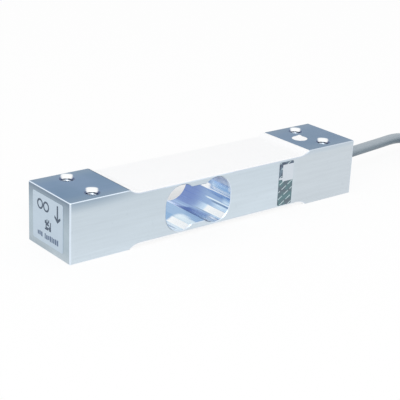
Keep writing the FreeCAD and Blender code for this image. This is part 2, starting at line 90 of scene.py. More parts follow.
class Shader:
    """A Principled material under construction."""

    def __init__(self, name, **sockets):
        self.material = bpy.data.materials.new(name)
        self.material.use_nodes = True
        self.tree = self.material.node_tree
        self.principled = self.tree.nodes["Principled BSDF"]
        for socket, value in sockets.items():
            self.principled.inputs[socket.replace("_", " ")].default_value = value
        self.coordinates = self.tree.nodes.new("ShaderNodeTexCoord")

    def node(self, kind, inputs=None, **settings):
        made = self.tree.nodes.new(kind)
        for setting, value in settings.items():
            setattr(made, setting, value)
        for key, value in (inputs or {}).items():
            self.feed(made.inputs[key], value)
        return made

    def feed(self, socket, value):
        if isinstance(value, bpy.types.NodeSocket):
            self.tree.links.new(value, socket)
        else:
            socket.default_value = value

    @property
    def place(self):
        return self.coordinates.outputs["Object"]

    @property
    def normal(self):
        return self.coordinates.outputs["Normal"]

    def split(self, vector):
        return self.node("ShaderNodeSeparateXYZ", {0: vector}).outputs

    def math(self, operation, a, b=0.0):
        return self.node("ShaderNodeMath", {0: a, 1: b}, operation=operation).outputs[0]

    def below(self, value, limit):
        return self.math("LESS_THAN", value, limit)

    def every(self, *factors):
        """All factors multiplied."""
        product = factors[0]
        for factor in factors[1:]:
            product = self.math("MULTIPLY", product, factor)
        return product

    def either(self, a, b):
        return self.math("MAXIMUM", a, b)

    def band(self, value, low, high, soft):
        """1 between low and high, with soft edges."""
        rise = self.ramp(value, low - soft, low + soft)
        fall = self.ramp(value, high + soft, high - soft)
        return self.every(rise, fall)

    def ramp(self, value, low, high):
        """A smooth step: 0 below low, 1 above high; low may be the larger."""
        made = self.node("ShaderNodeMapRange", {"Value": value, "From Min": low, "From Max": high})
        made.interpolation_type = "SMOOTHSTEP"
        return made.outputs[0]

    def mix(self, factor, a, b, blend="MIX"):
        made = self.node("ShaderNodeMix", {0: factor}, data_type="RGBA", blend_type=blend)
        self.feed(made.inputs[6], a)
        self.feed(made.inputs[7], b)
        return made.outputs[2]

    def stretched(self, x, y, z):
        """Object coordinates with each axis scaled, for grain that runs one way."""
        made = self.node("ShaderNodeMapping", {"Vector": self.place})
        made.inputs["Scale"].default_value = (x, y, z)
        return made.outputs[0]

    def noise(self, scale, detail=2.0, vector=None, roughness=0.5):
        made = self.node("ShaderNodeTexNoise", {"Vector": vector or self.place})
        made.inputs["Scale"].default_value = scale
        made.inputs["Detail"].default_value = detail
        made.inputs["Roughness"].default_value = roughness
        return made.outputs["Fac"]

    def bump(self, height, strength, distance=0.0002):
        made = self.node("ShaderNodeBump", {"Height": height})
        made.inputs["Strength"].default_value = strength
        made.inputs["Distance"].default_value = distance
        self.feed(self.principled.inputs["Normal"], made.outputs[0])

    def colour(self, value):
        self.feed(self.principled.inputs["Base Color"], value)

    def rough(self, value):
        self.feed(self.principled.inputs["Roughness"], value)


# Materials

WHITE = srgb(252, 254, 255)
ICE = srgb(226, 241, 250)
PALE = srgb(206, 228, 248)
FROST = srgb(190, 216, 255)
SKY = srgb(164, 192, 228)
HAZE = srgb(148, 182, 218)
BLUE = srgb(145, 172, 213)
STEEL = srgb(152, 174, 202)
DIM = srgb(124, 147, 175)

# Painted reflections: light and dark streaks of reflected light painted through the cut-out. Each row: from
# and to angle round its middle in degrees, from and to depth in millimetres counted towards the back, the
# softness of the angles and of the depths, the strength, the colour
PAINTED_REFLECTION_STREAKS = [
    (-150, -63, -16, 16, 3.0, 1.0, 1.0, HAZE),
    (-124, -97, -16, -3.5, 5.0, 1.5, 0.9, ICE),
    (-112, -88, -9.5, -4.0, 5.0, 2.0, 0.7, ICE),
    (-127.5, -117, -16, -3.0, 0.8, 1.0, 1.0, WHITE),
    (-150, -126.5, -16, -4.0, 1.0, 3.0, 0.8, ICE),
    (-136, -132, -12, -6.0, 1.0, 1.5, 0.8, STEEL),
    (-64, -40, -16, 16, 1.5, 1.0, 1.0, BLUE),
    (-46.5, -44.5, 4, 16, 0.5, 1.0, 0.8, SKY),
    (-40, -26.5, -22, 0.5, 1.2, 4.0, 1.0, PALE),
    (-57, -45, -16, 1.0, 2.5, 3.0, 0.8, ICE),
    (-66, -62, 1.0, 16, 0.8, 1.0, 1.0, WHITE),
    (-61.5, -52, 8.0, 16, 1.0, 2.0, 0.9, FROST),
    (-64, -41, -16, -9.5, 2.0, 2.5, 0.95, WHITE),
    (-39.6, -37.4, -9, 2.0, 0.5, 2.0, 0.9, STEEL),
    (-37, -26.5, -16, -3.0, 0.6, 1.0, 1.0, WHITE),
    (-26, -20, -18, -6.0, 0.7, 3.5, 1.0, PALE),
    (-19.8, -17.8, -16, -4.0, 0.4, 1.5, 0.9, DIM),
    (-17.4, -15.4, -16, 0.0, 0.4, 1.5, 0.95, ICE),
    (-15, -7, -16, -10.5, 1.5, 1.5, 0.85, PALE),
    (-6.5, -4.6, -16, -4.5, 0.4, 1.5, 0.9, SKY),
    (-4.4, -2.2, -16, 2.0, 0.3, 1.0, 1.0, WHITE),
    (-4.4, 4.5, -1.5, 16, 0.8, 1.2, 1.0, WHITE),
    (-1.5, 3, -16, -3.0, 1.0, 1.5, 0.9, WHITE),
    (3, 12, -16, -2.5, 1.0, 1.2, 0.9, PALE),
    (12, 40, -13, 0, 2.5, 1.2, 1.0, WHITE),
    (5, 40, -16, -13.2, 2.0, 0.5, 1.0, WHITE),
    (4.5, 42, 1.0, 16, 1.0, 1.0, 1.0, WHITE),
]


def cutout_colour(s, x, y, z):
    """The cut-out's wall: its colour with painted reflections streaked over its floor and one side and
    painted shade deeper in, and where it is duller.
    """
    dx = s.math("SUBTRACT", x, CUTOUT_X)
    dz = s.math("SUBTRACT", z, MID_HEIGHT)
    angle = s.math("MULTIPLY", s.math("ARCTAN2", dz, dx), 180 / math.pi)
    depth = s.math("MULTIPLY", y, 1 / MM)
    wander_degrees = 1.6
    wander = s.math("MULTIPLY", s.math("SUBTRACT", s.noise(90, 2.0), 0.5), wander_degrees)
    angle = s.math("ADD", angle, wander)

    # Painted reflection and shade: a blue tint that darkens deeper in towards the back
    far = s.ramp(depth, -2.0, 9.0)
    colour = s.mix(far, srgb(154, 180, 216), srgb(124, 146, 197))
    for low, high, near, deep, soft, soft_depth, strength, tone in PAINTED_REFLECTION_STREAKS:
        mask = s.every(s.band(angle, low, high, soft), s.band(depth, near, deep, soft_depth), strength)
        colour = s.mix(mask, colour, tone)
    bare = s.mix(s.ramp(s.noise(70, 2.0), 0.4, 0.6), srgb(186, 204, 228), srgb(206, 220, 238))
    bare = s.mix(s.band(angle, 38, 150, 4.0), bare, WHITE)
    past_streaks = s.either(s.ramp(angle, 36, 40), s.ramp(angle, -148, -154))
    colour = s.mix(past_streaks, colour, bare)
    round_the_wall = s.math("MULTIPLY", angle, 0.9)
    through_it = s.math("MULTIPLY", depth, 0.05)
    line_place = s.node("ShaderNodeCombineXYZ", {0: round_the_wall, 1: through_it})
    lines = s.noise(1.0, 3.0, line_place.outputs[0], 0.7)
    colour = s.mix(s.ramp(lines, 0.55, 0.75), colour, srgb(210, 226, 244), "SOFT_LIGHT")
    colour = s.mix(s.ramp(lines, 0.45, 0.25), colour, srgb(72, 104, 180), "SOFT_LIGHT")
    dull = s.every(s.band(angle, 13, 44, 5.0), s.ramp(depth, 1.0, -2.0))
    return colour, dull


def hole_tones(s, x, y, z):
    """Round a tapped hole: distance from its axis, from -1 at the front to 1 at the back, and colour with
    painted highlights on its front and back sides and painted shade at its sides.
    """
    side_x = s.math("SIGN", x)
    px = s.math("SUBTRACT", x, s.math("MULTIPLY", side_x, HOLE_X))
    py = s.math("SUBTRACT", y, s.math("MULTIPLY", s.math("SIGN", y), HOLE_Y))
    radius = s.math("SQRT", s.math("ADD", s.math("MULTIPLY", px, px), s.math("MULTIPLY", py, py)))
    turned = s.math("MULTIPLY", side_x, 0.08)
    along_x = s.math("MULTIPLY", px, s.math("ADD", turned, 0.61))
    along_y = s.math("MULTIPLY", py, s.math("SUBTRACT", 0.79, s.math("MULTIPLY", turned, 0.8)))
    back = s.math("DIVIDE", s.math("ADD", along_x, along_y), radius)
    painted_highlight = s.math("ABSOLUTE", back)
    from_middle = s.math("ABSOLUTE", s.math("SUBTRACT", z, MID_HEIGHT))
    depth = s.math("SUBTRACT", MID_HEIGHT, from_middle)
    # Painted highlights where the wall and mouth face the front and back, painted shade at the sides, white
    # on the first turns
    wall = s.mix(s.ramp(painted_highlight, 0.7, 0.92), srgb(84, 98, 128), srgb(220, 230, 240))
    first_turns = s.every(s.ramp(painted_highlight, 0.6, 0.8), s.ramp(depth, 0.0015, 0.0009))
    wall = s.mix(first_turns, wall, WHITE)
    mouth = s.mix(s.ramp(painted_highlight, 0.5, 0.85), srgb(84, 102, 136), WHITE)
    wall_ends, mouth_starts = 0.00252, 0.00262
    colour = s.mix(s.ramp(radius, wall_ends, mouth_starts), wall, mouth)
    # The countersink's outer ring, away from the highlights, takes the pads' painted reflection blue
    outer = s.every(s.ramp(radius, 0.00300, 0.00315), s.ramp(painted_highlight, 0.7, 0.4))
    colour = s.mix(outer, colour, srgb(120, 142, 168))
    return radius, back, colour


def beam_material():
    """Milled aluminium: each face keeps its own cut and grain and a painted tone of reflection and shade;
    edges carry painted highlights.
    """
    s = Shader("aluminium", Metallic=1.0, Roughness=0.3, Specular_IOR_Level=0.0)
    x, y, z = s.split(s.place)
    nx, ny, nz = s.split(s.normal)
    ax, ay, az = [s.math("ABSOLUTE", n) for n in (nx, ny, nz)]
    out_x, out_y = s.math("ABSOLUTE", x), s.math("ABSOLUTE", y)

    # Front and back faces: painted reflection, a little paler low down, greyer towards the fixed end and its
    # top corner, and painted shade under the top edge at the load end
    front = s.mix(s.ramp(z, 0.004, 0.021), srgb(211, 223, 232), srgb(205, 217, 226))
    front = s.mix(s.ramp(x, 0.033, 0.042), front, srgb(205, 214, 221))
    front = s.mix(s.every(s.ramp(x, 0.040, 0.047), s.ramp(z, 0.0222, 0.0245)), front, srgb(196, 208, 218))
    shade = s.every(s.ramp(x, -0.030, -0.066), s.ramp(z, 0.0196, 0.0252))
    front = s.mix(shade, front, srgb(160, 178, 194))

    # Pad tops: painted reflection in dark blues, mottled at random, paler towards the long edges and darker
    # on the fixed pad
    patches = s.ramp(s.noise(45, 3.0, s.stretched(1.0, 0.6, 1.0)), 0.35, 0.65)
    top = s.mix(patches, srgb(95, 128, 160), srgb(105, 135, 168))
    top = s.mix(s.math("MULTIPLY", s.ramp(out_y, 0.007, 0.0148), 0.7), top, srgb(122, 146, 167))
    top = s.mix(s.every(s.ramp(x, 0.04, 0.05), 0.5), top, srgb(86, 118, 148))
    radius, back, in_hole = hole_tones(s, x, y, z)
    # Painted glare: a white highlight painted on the pad tops just past the back rim of each tapped hole
    reach = s.math("SUBTRACT", radius, s.math("MULTIPLY", s.ramp(back, 0.72, 1.0), 0.0023))
    painted_glare = s.every(s.ramp(reach, 0.0040, 0.0027), s.ramp(back, 0.5, 0.95), s.ramp(nz, 0.5, 0.7))
    top = s.mix(painted_glare, top, WHITE)

    # End faces: painted shade and reflection, darker towards the top edge and towards the foot at the back
    end = s.node("ShaderNodeValToRGB", {0: s.math("MULTIPLY", z, 1 / BEAM_HEIGHT)})
    stops = [(0.03, srgb(188, 200, 208)), (0.22, srgb(172, 188, 198)), (0.48, srgb(177, 193, 203)),
             (0.74, srgb(163, 179, 191)), (0.92, srgb(144, 160, 174)), (0.97, srgb(126, 143, 160))]
    ramp = end.color_ramp
    while len(ramp.elements) < len(stops):
        ramp.elements.new(0.5)
    for element, (spot, tone) in zip(ramp.elements, stops):
        element.position = spot
        element.color = tone

    end_low = s.every(s.ramp(y, -0.006, 0.006), s.ramp(z, 0.005, 0.0), 0.8)
    end = s.mix(end_low, end.outputs[0], srgb(162, 176, 186))

    # Each face takes its own painted tone of reflection and shade, chosen by which way it faces
    colour = s.mix(s.ramp(az, 0.5, 0.7), front, top)
    colour = s.mix(s.ramp(ax, 0.5, 0.7), colour, end)

    grain = s.noise(900, 2.0, s.stretched(0.05, 1.0, 1.0))
    tone = s.node("ShaderNodeMapRange", {"Value": grain, "To Min": 0.94, "To Max": 1.06})
    colour = s.mix(1.0, colour, tone.outputs[0], "MULTIPLY")
    scratches = s.ramp(s.noise(1600, 1.0, s.stretched(0.3, 0.04, 0.3)), 0.62, 0.8)
    colour = s.mix(s.math("MULTIPLY", scratches, 0.05), colour, srgb(90, 110, 136))

    # Painted highlights along the chamfered edges, the ends' upright edges and the cut-out's rim, palest at
    # the load end
    side_edge = s.band(ay, 0.3, 0.93, 0.03)
    end_edge = s.every(s.band(ax, 0.3, 0.93, 0.03), s.ramp(out_x, 0.0743, 0.0746))
    near_edge = s.every(s.ramp(out_x, 0.0741, 0.0746), s.ramp(ay, 0.6, 0.9))
    across = s.math("ABSOLUTE", s.math("SUBTRACT", x, CUTOUT_X))
    from_middle = s.math("ABSOLUTE", s.math("SUBTRACT", z, MID_HEIGHT))
    rim = s.every(s.below(across, RIM_HALF_X), s.below(from_middle, RIM_HALF_Z))
    painted_highlight = s.mix(s.ramp(x, -0.050, -0.046), srgb(230, 242, 255), srgb(207, 217, 229))
    painted_highlight = s.mix(rim, painted_highlight, srgb(216, 228, 240))
    edges = s.either(s.either(side_edge, end_edge), s.math("MULTIPLY", near_edge, 0.7))
    colour = s.mix(edges, colour, painted_highlight)
    # The cut-out's wall takes its painted reflections and shade
    inside = s.every(s.below(across, CUTOUT_HALF_X), s.below(from_middle, CUTOUT_HALF_Z), s.below(ay, 0.25))
    streaked, dull = cutout_colour(s, x, y, z)
    colour = s.mix(inside, colour, streaked)
    s.feed(s.principled.inputs["Metallic"], s.math("SUBTRACT", 1.0, s.every(inside, dull, 0.5)))
    tapped = s.every(s.below(radius, HOLE_MOUTH_RADIUS), s.math("GREATER_THAN", out_x, PAD_START_X))
    colour = s.mix(tapped, colour, in_hole)
    s.colour(colour)
    rough = s.math("ADD", 0.26, s.math("MULTIPLY", s.noise(120, 2.0), 0.10))
    s.rough(s.math("SUBTRACT", rough, s.math("MULTIPLY", inside, 0.11)))
    s.bump(grain, 0.05)
    return s.material


def thread_material():
    """The tapped holes' threads: the holes' colours with their painted highlights and shade, a little greyer
    in patches.
    """
    s = Shader("thread", Metallic=1.0, Roughness=0.3)
    x, y, z = s.split(s.place)
    _, _, colour = hole_tones(s, x, y, z)
    s.colour(s.mix(s.math("MULTIPLY", s.noise(500), 0.3), colour, srgb(176, 190, 204)))
    return s.material


def silicone_material():
    """Poured silicone: soft, matt, a little uneven."""
    s = Shader("white_silicone", Roughness=0.6)
    s.colour(s.mix(s.noise(90, 3.0), srgb(251, 252, 253), srgb(254, 254, 255)))
    s.bump(s.noise(120, 3.0), 0.08, 0.0005)
    return s.material


def jacket_material():
    """Grey cable jacket, painted paler on its upper side and darker below as shading, with a fine matt skin.
    """
    s = Shader("cable_jacket", Roughness=0.45)
    up = s.split(s.normal)[2]
    # Painted shading: paler on the upper side, darker below
    colour = s.mix(s.ramp(up, -0.35, 0.8), srgb(104, 120, 132), srgb(163, 174, 182))
    colour = s.mix(s.math("MULTIPLY", s.noise(260, 3.0), 0.35), colour, srgb(140, 155, 168))
    s.colour(colour)
    s.bump(s.noise(1200, 2.0), 0.12)
    return s.material


def foil_material():
    """Printed metal foil: dark grey-green, bluer and darker towards its upper part."""
    s = Shader("foil_ground", Roughness=0.35, Metallic=0.3)
    z = s.split(s.place)[2]
    tint = s.mix(s.ramp(s.noise(260, 2.0), 0.4, 0.62), srgb(98, 112, 122), srgb(96, 128, 134))
    upper = s.mix(s.ramp(s.noise(420, 2.0), 0.45, 0.6), srgb(78, 90, 110), srgb(112, 132, 148))
    s.colour(s.mix(s.ramp(z, 0.0135, 0.0155), tint, upper))
    s.bump(s.noise(900, 2.0), 0.1)
    return s.material


def moulded(name, colour, other, rough=0.5, scale=400, strength=0.15, metallic=0.0):
    """Plastic, rubber, film or plain metal with a fine mottle of two colours."""
    s = Shader(name, Roughness=rough, Metallic=metallic)
    speckle = s.noise(scale, 3.0)
    s.colour(s.mix(speckle, colour, other))
    s.bump(speckle, strength)
    return s.material


beam = beam_material()
thread = thread_material()
silicone = silicone_material()
jacket = jacket_material()
label = moulded("label_film", srgb(186, 203, 218), srgb(194, 210, 224), rough=0.4, scale=300, strength=0.05)
ink = moulded("slate_ink", srgb(58, 74, 94), srgb(72, 90, 110), scale=900, strength=0.05)
soft_ink = moulded("soft_slate_ink", srgb(84, 104, 132), srgb(100, 120, 148), scale=900, strength=0.05)
foil = foil_material()
foil_light = moulded("foil_dashes", srgb(190, 210, 216), srgb(214, 228, 232), rough=0.3, scale=500,
                     strength=0.05)
foil_blank = moulded("foil_blank", srgb(205, 213, 222), srgb(212, 219, 227), strength=0.05)
seal = moulded("seal_compound", srgb(60, 64, 68), srgb(78, 82, 86), rough=0.6)
sleeve = moulded("shrink_sleeve", srgb(30, 30, 32), srgb(44, 44, 46), scale=900)
nylon = moulded("tie_nylon", srgb(38, 38, 40), srgb(50, 50, 52), rough=0.38, scale=500)
tinned = moulded("tinned_strands", srgb(190, 190, 192), srgb(212, 212, 214), rough=0.3, scale=2000,
                 strength=0.1, metallic=1.0)
wires = {
    "red": moulded("wire_red", srgb(178, 30, 32), srgb(196, 42, 42)),
    "black": moulded("wire_black", srgb(26, 26, 28), srgb(38, 38, 40)),
    "green": moulded("wire_green", srgb(22, 120, 62), srgb(34, 138, 76)),
    "white": moulded("wire_white", srgb(226, 226, 222), srgb(238, 238, 235)),
    "shield": moulded("wire_yellow", srgb(214, 178, 40), srgb(226, 192, 60)),
}
etched = {"rough": 0.3, "scale": 900, "strength": 0.05, "metallic": 1.0}
hidden = {
    "gauge_backing": moulded("gauge_backing", srgb(196, 142, 70), srgb(210, 158, 84), rough=0.4),
    "gauge_foil": moulded("gauge_foil", srgb(196, 178, 160), srgb(212, 194, 176), **etched),
    "gauge_terminal": moulded("copper_terminal", srgb(198, 132, 92), srgb(214, 150, 110), **etched),
    "gauge_lead": moulded("lead_enamel", srgb(150, 62, 30), srgb(166, 76, 40), rough=0.3),
    "compensation_board": moulded("board_laminate", srgb(24, 104, 62), srgb(34, 120, 74), rough=0.4),
    "span_resistor": moulded("resistor_body", srgb(38, 38, 42), srgb(52, 52, 56), rough=0.3),
}
hidden["zero_resistor"] = hidden["temperature_resistor"] = hidden["span_resistor"]


def node_material(name):
    """The material of a node that keeps its own solid."""
    for start, material in hidden.items():
        if name.startswith(start):
            return material
    for start in ("free_wire_", "inner_wire_"):
        if name.startswith(start):
            return wires[name[len(start):]]
    table = {
        "beam_body": beam,
        "upper_covering": silicone,
        "lower_covering": silicone,
        "pocket_potting": silicone,
        "wiring_hole_sealant": silicone,
        "cable_seal_ring": seal,
        "cable_jacket_in_bore": jacket,
        "side_foil": foil,
        "side_foil_blank_field": foil_blank,
        "end_label": label,
        "cable_end_sleeve": sleeve,
        "hank_tie_near": nylon,
        "hank_tie_far": nylon,
    }
    if name.startswith("free_strand_"):
        return tinned
    return table.get(name, jacket)


for node_name, node in nodes.items():
    node.data.materials.clear()
    node.data.materials.append(node_material(node_name))


# Pieces built here, millimetres

PRINT_SUNK = 0.01


def mesh_piece(name, vertices, faces, material, smooth=False):
    mesh = bpy.data.meshes.new(name)
    mesh.from_pydata([[c * MM for c in v] for v in vertices], [], faces)
    shape = bmesh.new()
    shape.from_mesh(mesh)
    bmesh.ops.recalc_face_normals(shape, faces=shape.faces)
    shape.to_mesh(mesh)
    shape.free()
    mesh.materials.append(material)
    if smooth:
        mesh.shade_smooth()
    made = bpy.data.objects.new(name, mesh)
    bpy.context.scene.collection.objects.link(made)
    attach(made, "root")
    return made


def print_piece(name, outlines, place, thickness, material):
    """Thin raised shapes on a surface. An outline is a list of (u, v), or two lists for a ring."""
    vertices = []
    faces = []
    for outline in outlines:
        loops = outline if isinstance(outline[0][0], (list, tuple)) else [outline]
        count = len(loops[0])
        levels = []
        for height in (-PRINT_SUNK, thickness):
            for loop in loops:
                levels.append(len(vertices))
                vertices += [place(u, v, height) for u, v in loop]
        if len(loops) == 1:
            low, high = levels
            faces.append([low + i for i in range(count)])
            faces.append([high + i for i in range(count)])
            pairs = [(low, high)]
        else:
            outer_low, inner_low, outer_high, inner_high = levels
            pairs = [(outer_low, outer_high), (outer_high, inner_high), (inner_high, inner_low),
                     (inner_low, outer_low)]
        for a, b in pairs:
            for i in range(count):
                j = (i + 1) % count
                faces.append([a + i, a + j, b + j, b + i])
    return mesh_piece(name, vertices, faces, material)


def ring(u, v, outer, inner, steps=40):
    angles = [2 * math.pi * i / steps for i in range(steps)]
    return [[(u + r * math.cos(a), v + r * math.sin(a)) for a in angles] for r in (outer, inner)]


def rectangle(u0, u1, v0, v1):
    return [(u0, v0), (u1, v0), (u1, v1), (u0, v1)]


# Print on the end label: the arrow that shows the load's direction, and plain shapes

LABEL_X = LABEL_LOW[0] / MM
LABEL_PRINT = 0.03


def on_label(u, v, height):
    return (LABEL_X - height, u, v)


def label_arrow():
    middle, top, tip, reach, rise, stroke = -6.46, 21.3, 14.2, 1.95, 2.6, 0.46
    notch = tip + 1.7
    shape = [
        (middle - stroke, top), (middle - stroke, notch), (middle - reach, tip + rise + 0.25),
        (middle - reach - 0.2, tip + rise - 0.75), (middle, tip), (middle + reach + 0.2, tip + rise - 0.75),
        (middle + reach, tip + rise + 0.25), (middle + stroke, notch), (middle + stroke, top),
    ]
    print_piece("label_arrow", [shape], on_label, LABEL_PRINT, ink)


def label_rings():
    row, outer, inner = 18.3, 2.15, 1.4
    rings = [ring(u, row, outer, inner) for u in (6.1, 1.7)]
    print_piece("label_two_rings", rings, on_label, LABEL_PRINT, ink)


def label_blocks():
    """A square of cells, filled at random."""
    draw = random.Random(7)
    low_u, low_v, side, count = -1.8, 8.95, 4.45, 7
    share, inset = 0.56, 0.02
    cell = side / count
    blocks = []
    for row in range(count):
        for column in range(count):
            if draw.random() < share:
                u, v = low_u + column * cell, low_v + row * cell
                blocks.append(rectangle(u + inset, u + cell - inset, v + inset, v + cell - inset))
    print_piece("label_block_square", blocks, on_label, LABEL_PRINT, ink)


def label_bars():
    """Two groups of plain upright bars of uneven widths and heights."""
    draw = random.Random(11)
    low, high, room, gap = 4.95, 7.2, 0.9, 0.38
    bars = []
    for start, end in ((7.9, 4.0), (2.75, -7.5)):
        u = start
        while u - room > end:
            width = draw.choice((0.7, 0.85, 1.0))
            inset = draw.choice((0.0, 0.2, 0.4))
            bars.append(rectangle(u - width, u, low + inset * draw.random(), high - inset * draw.random()))
            u -= width + gap
    print_piece("label_bars", bars, on_label, LABEL_PRINT, soft_ink)


# Print on the foil: rows of slanting dashes, and the pale field's step

FOIL_PRINT = 0.02
BLANK_STEP = 0.045


def clipped(polygon, low, high, axis):
    """The part of a polygon between two limits along one axis."""
    for limit, keep in ((low, 1), (high, -1)):
        kept = []
        for a, b in zip(polygon, polygon[1:] + polygon[:1]):
            inside_a, inside_b = (a[axis] - limit) * keep >= 0, (b[axis] - limit) * keep >= 0
            if inside_a:
                kept.append(a)
            if inside_a != inside_b:
                t = (limit - a[axis]) / (b[axis] - a[axis])
                kept.append(tuple(p + (q - p) * t for p, q in zip(a, b)))
        polygon = kept
        if len(polygon) < 3:
            return []
    return polygon


def outline_area(polygon):
    return abs(sum(a[0] * b[1] - b[0] * a[1] for a, b in zip(polygon, polygon[1:] + polygon[:1]))) / 2


def foil_dashes():
    face = FOIL_LOW[1] / MM
    start, along, down = (30.79, 12.13), (3.32, 2.04), (1.37, -2.40)
    share, half_stroke = 0.74, 0.17
    length = math.hypot(*along)
    side = (-along[1] / length * half_stroke, along[0] / length * half_stroke)
    margin, least_area = 0.15, 0.05
    dashes = []
    for i in range(-6, 7):
        for j in range(-7, 8):
            u = start[0] + i * along[0] + j * down[0]
            v = start[1] + i * along[1] + j * down[1]
            end = (u + along[0] * share, v + along[1] * share)
            dash = [(u - side[0], v - side[1]), (end[0] - side[0], end[1] - side[1]),
                    (end[0] + side[0], end[1] + side[1]), (u + side[0], v + side[1])]
            dash = clipped(dash, FOIL_LOW[0] / MM + margin, FOIL_HIGH[0] / MM - margin, 0)
            dash = dash and clipped(dash, FOIL_LOW[2] / MM + margin, FOIL_HIGH[2] / MM - margin, 1)
            if dash and outline_area(dash) > least_area:
                dashes.append(dash)

    def place(u, v, height):
        return (u, face - height, v)

    print_piece("foil_dashes", dashes, place, FOIL_PRINT, foil_light)
    inset, overlap, step_low, step_high = 0.02, 0.1, 14.4, 15.25
    step = rectangle(FOIL_LOW[0] / MM + inset, BLANK_LOW[0] / MM + overlap, step_low, step_high)
    print_piece("foil_blank_step", [step], place, BLANK_STEP, foil_blank)


# Sealant in the wiring hole: a poured heap with one low peak

def sealant():
    middle_x = (SEALANT_LOW[0] + SEALANT_HIGH[0]) / 2 / MM
    radius = (SEALANT_HIGH[0] - SEALANT_LOW[0]) / 2 / MM
    top, bottom = BEAM_TOP / MM, SEALANT_LOW[2] / MM
    rings, steps = 14, 56
    heap_rise, peak_rise, lump_rise = 0.22, 0.74, 0.05
    peak_x, peak_y, peak_spread = 1.5, 1.9, 1.7
    clear = 0.02
    vertices = []

    def height(dx, dy):
        r = math.hypot(dx, dy) / radius
        heap = heap_rise * (1 - r * r)
        peak = peak_rise * math.exp(-((dx - peak_x) ** 2 + (dy - peak_y) ** 2) / peak_spread)
        lumps = lump_rise * math.sin(2.3 * dx + 1.0) * math.cos(1.9 * dy - 0.6)
        return top + clear + (heap + lumps * (1 - r)) + peak * min(1.0, 4.0 * (1 - r))

    for i in range(1, rings + 1):
        r = radius * i / rings
        for k in range(steps):
            a = 2 * math.pi * k / steps
            dx, dy = r * math.cos(a), r * math.sin(a)
            vertices.append((middle_x + dx, dy, height(dx, dy) if i < rings else top))
    for k in range(steps):
        a = 2 * math.pi * k / steps
        vertices.append((middle_x + radius * math.cos(a), radius * math.sin(a), bottom))
    crown = len(vertices)
    vertices.append((middle_x, 0.0, height(0.0, 0.0)))
    foot = len(vertices)
    vertices.append((middle_x, 0.0, bottom))
    faces = []
    for k in range(steps):
        j = (k + 1) % steps
        faces.append([crown, k, j])
        for i in range(rings):
            a, b = i * steps, (i + 1) * steps
            faces.append([a + k, b + k, b + j, a + j])
        faces.append([rings * steps + j, rings * steps + k, foot])
    made = mesh_piece("poured_sealant", vertices, faces, silicone, smooth=True)
    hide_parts("wiring_hole_sealant")


# Thread in each tapped hole

def tapped_thread(name, x, y):
    pitch, root, crest, half, flat = 1.0, 2.56, 2.28, 0.4, 0.06
    steps, run_in = 32, 10
    below_mouth = 1.1
    low, high = below_mouth, BEAM_TOP / MM - below_mouth
    total = int((high - low) / pitch * steps)
    vertices = []
    for i in range(total + 1):
        a = 2 * math.pi * i / steps
        z = low + pitch * i / steps
        fade = min(1.0, i / run_in, (total - i) / run_in)
        tip = root - (root - crest) * fade
        for r, dz in ((root, -half), (tip, -flat), (tip, flat), (root, half)):
            vertices.append((x + r * math.cos(a), y + r * math.sin(a), z + dz))
    faces = []
    for i in range(total):
        a, b = 4 * i, 4 * (i + 1)
        for k in range(4):
            j = (k + 1) % 4
            faces.append([a + k, a + j, b + j, b + k])
    faces.append([0, 1, 2, 3])
    faces.append([4 * total + k for k in range(4)])
    mesh_piece(name, vertices, faces, thread)


label_arrow()
label_rings()
label_blocks()
label_bars()
foil_dashes()
sealant()
for end_name, side_x in (("load", -1), ("fixed", 1)):
    for row_name, side_y in (("front", -1), ("back", 1)):
        tapped_thread(f"thread_{end_name}_{row_name}", side_x * HOLE_X / MM, side_y * HOLE_Y / MM)


# Bared ends of the five conductors: six tinned strands laid round a seventh, millimetres

def strand_bundle(colour):
    node = nodes[f"free_strand_{colour}"]
    low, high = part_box(f"free_strand_{colour}")
    spots = [v.co for v in node.data.vertices]
    end_depth = 0.0004
    ends = []
    for limit in (high[0], low[0]):
        near = [p for p in spots if abs(p.x - limit) < end_depth]
        ends.append(sum(near, Vector()) / len(near) / MM)
    start, end = ends
    steps, around, strand_radius, lay_radius = 20, 8, 0.1, 0.2
    twists, flare, flare_from = 1.6, 0.35, 0.75
    vertices = []
    faces = []
    for index in range(7):
        first = len(vertices)
        for i in range(steps + 1):
            share = i / steps
            turn = 2 * math.pi * (index / 6 + twists * share)
            out = 0.0 if index == 6 else lay_radius * (1 + flare * max(0.0, share - flare_from))
            centre = start + (end - start) * share + Vector((0, out * math.cos(turn), out * math.sin(turn)))
            for k in range(around):
                a = 2 * math.pi * k / around
                y = centre.y + strand_radius * math.cos(a)
                z = centre.z + strand_radius * math.sin(a)
                vertices.append((centre.x, y, z))
        for i in range(steps):
            for k in range(around):
                j = (k + 1) % around
                a, b = first + i * around, first + (i + 1) * around
                faces.append([a + k, a + j, b + j, b + k])
        faces.append([first + k for k in range(around)])
        faces.append([first + steps * around + k for k in range(around)])
    made = mesh_piece(f"strand_bundle_{colour}", vertices, faces, tinned)
    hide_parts(f"free_strand_{colour}")
    return made


strand_bundles = [strand_bundle(colour) for colour in wires]


# Teeth and tail of each cable tie

